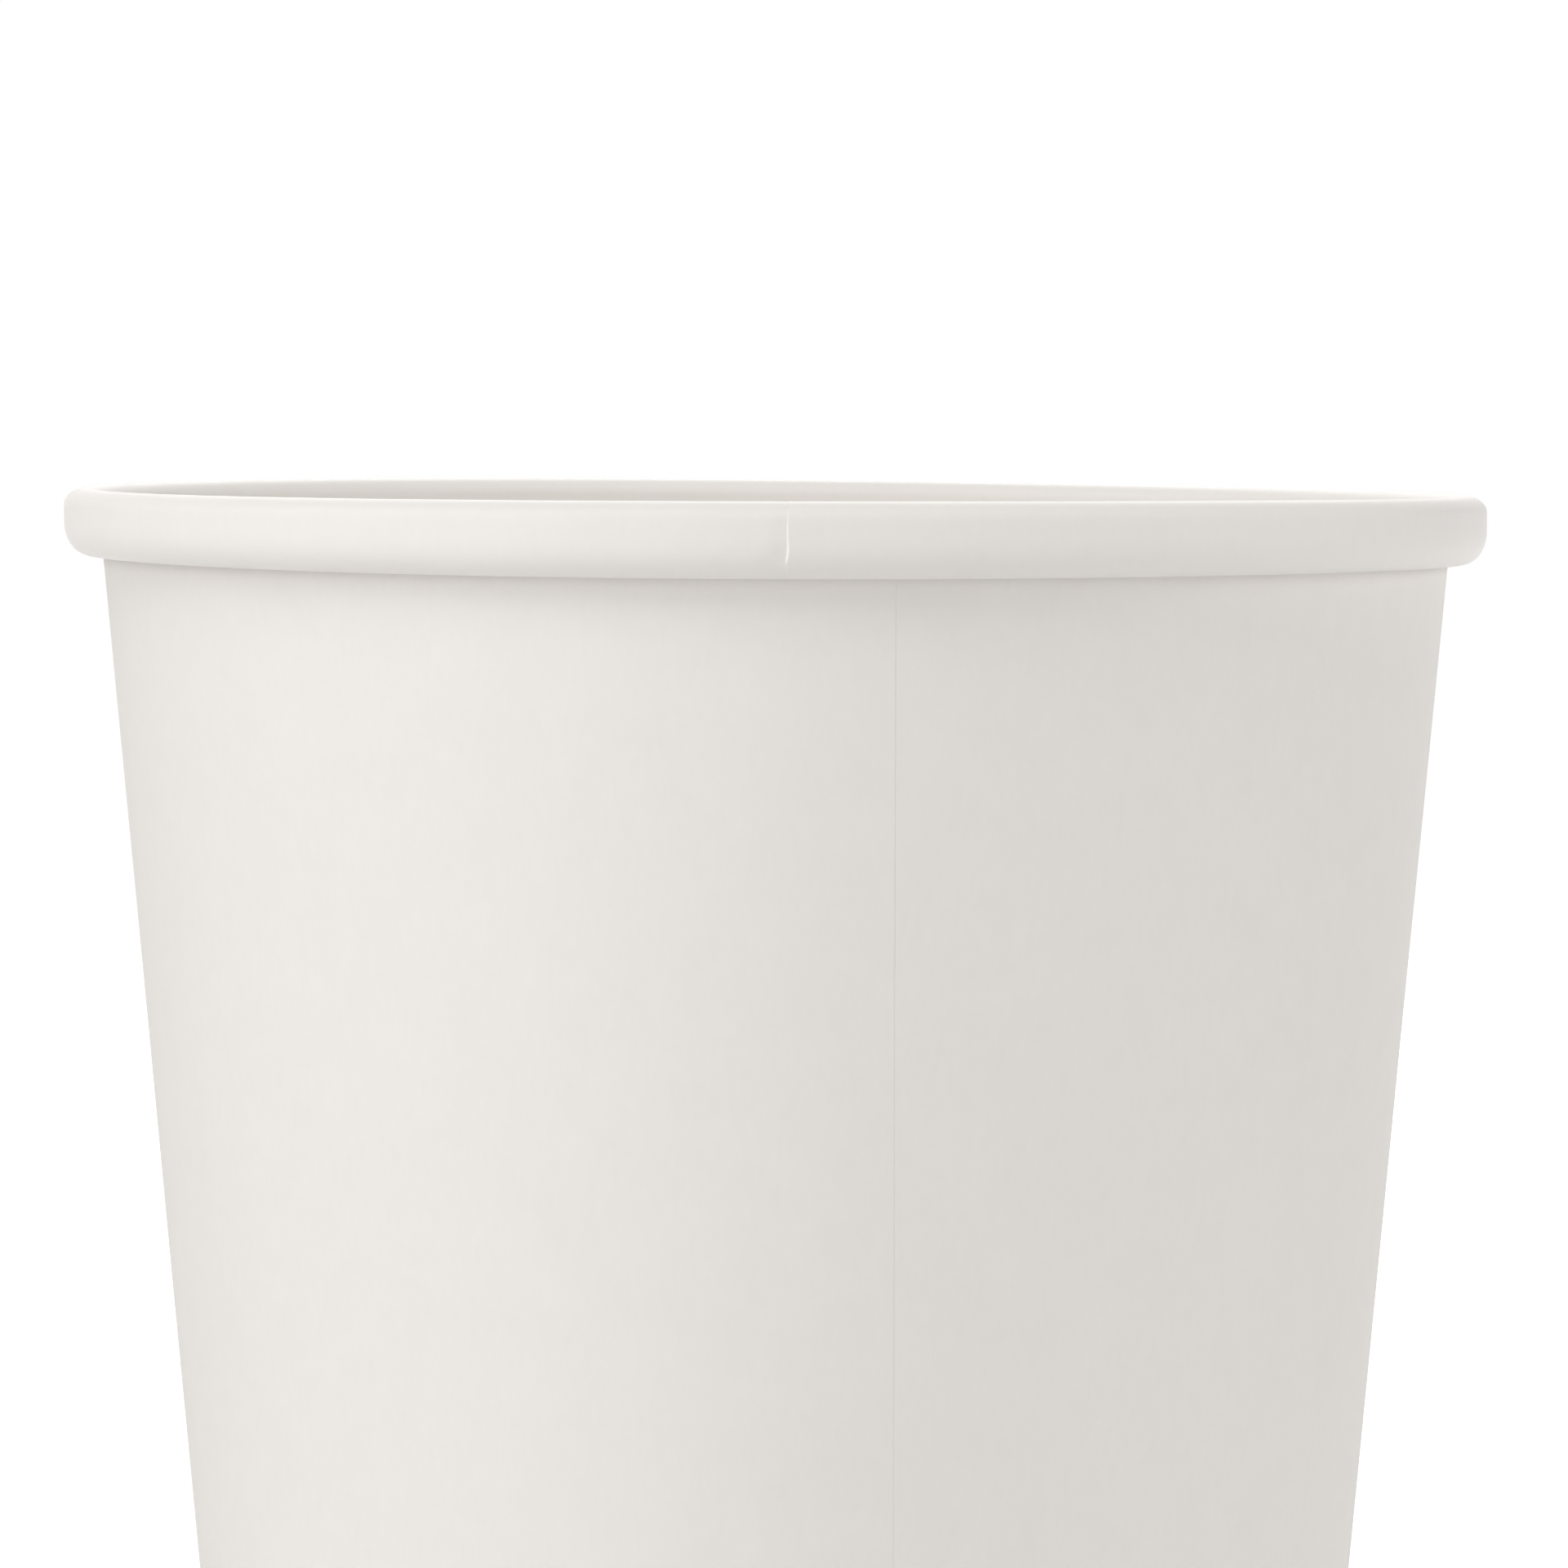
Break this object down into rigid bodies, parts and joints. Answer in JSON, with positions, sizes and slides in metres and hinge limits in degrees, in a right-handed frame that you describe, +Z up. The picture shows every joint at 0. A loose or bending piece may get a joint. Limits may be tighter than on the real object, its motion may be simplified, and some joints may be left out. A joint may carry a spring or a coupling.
{
  "type": "paper soup cup",
  "caption": "Plain off-white paper soup cup: tapered paperboard wall with a lapped side seam, thick rolled rim, folded foot and recessed bottom disc.",
  "frame": {"origin": "centre of the foot, on the surface that the cup stands on", "axes": "+Z up along the cup's axis; -Y is the cup's front, where the lap of the side seam shows on the rim; +X to the right of the front"},
  "size_m": [0.098, 0.098, 0.099],
  "materials": {
    "wall_board": "matte",
    "disc_board": "matte"
  },
  "bodies": {
    "root": {"sidewall": "wall_board", "bottom_disc": "disc_board"}
  },
  "joints": []
}
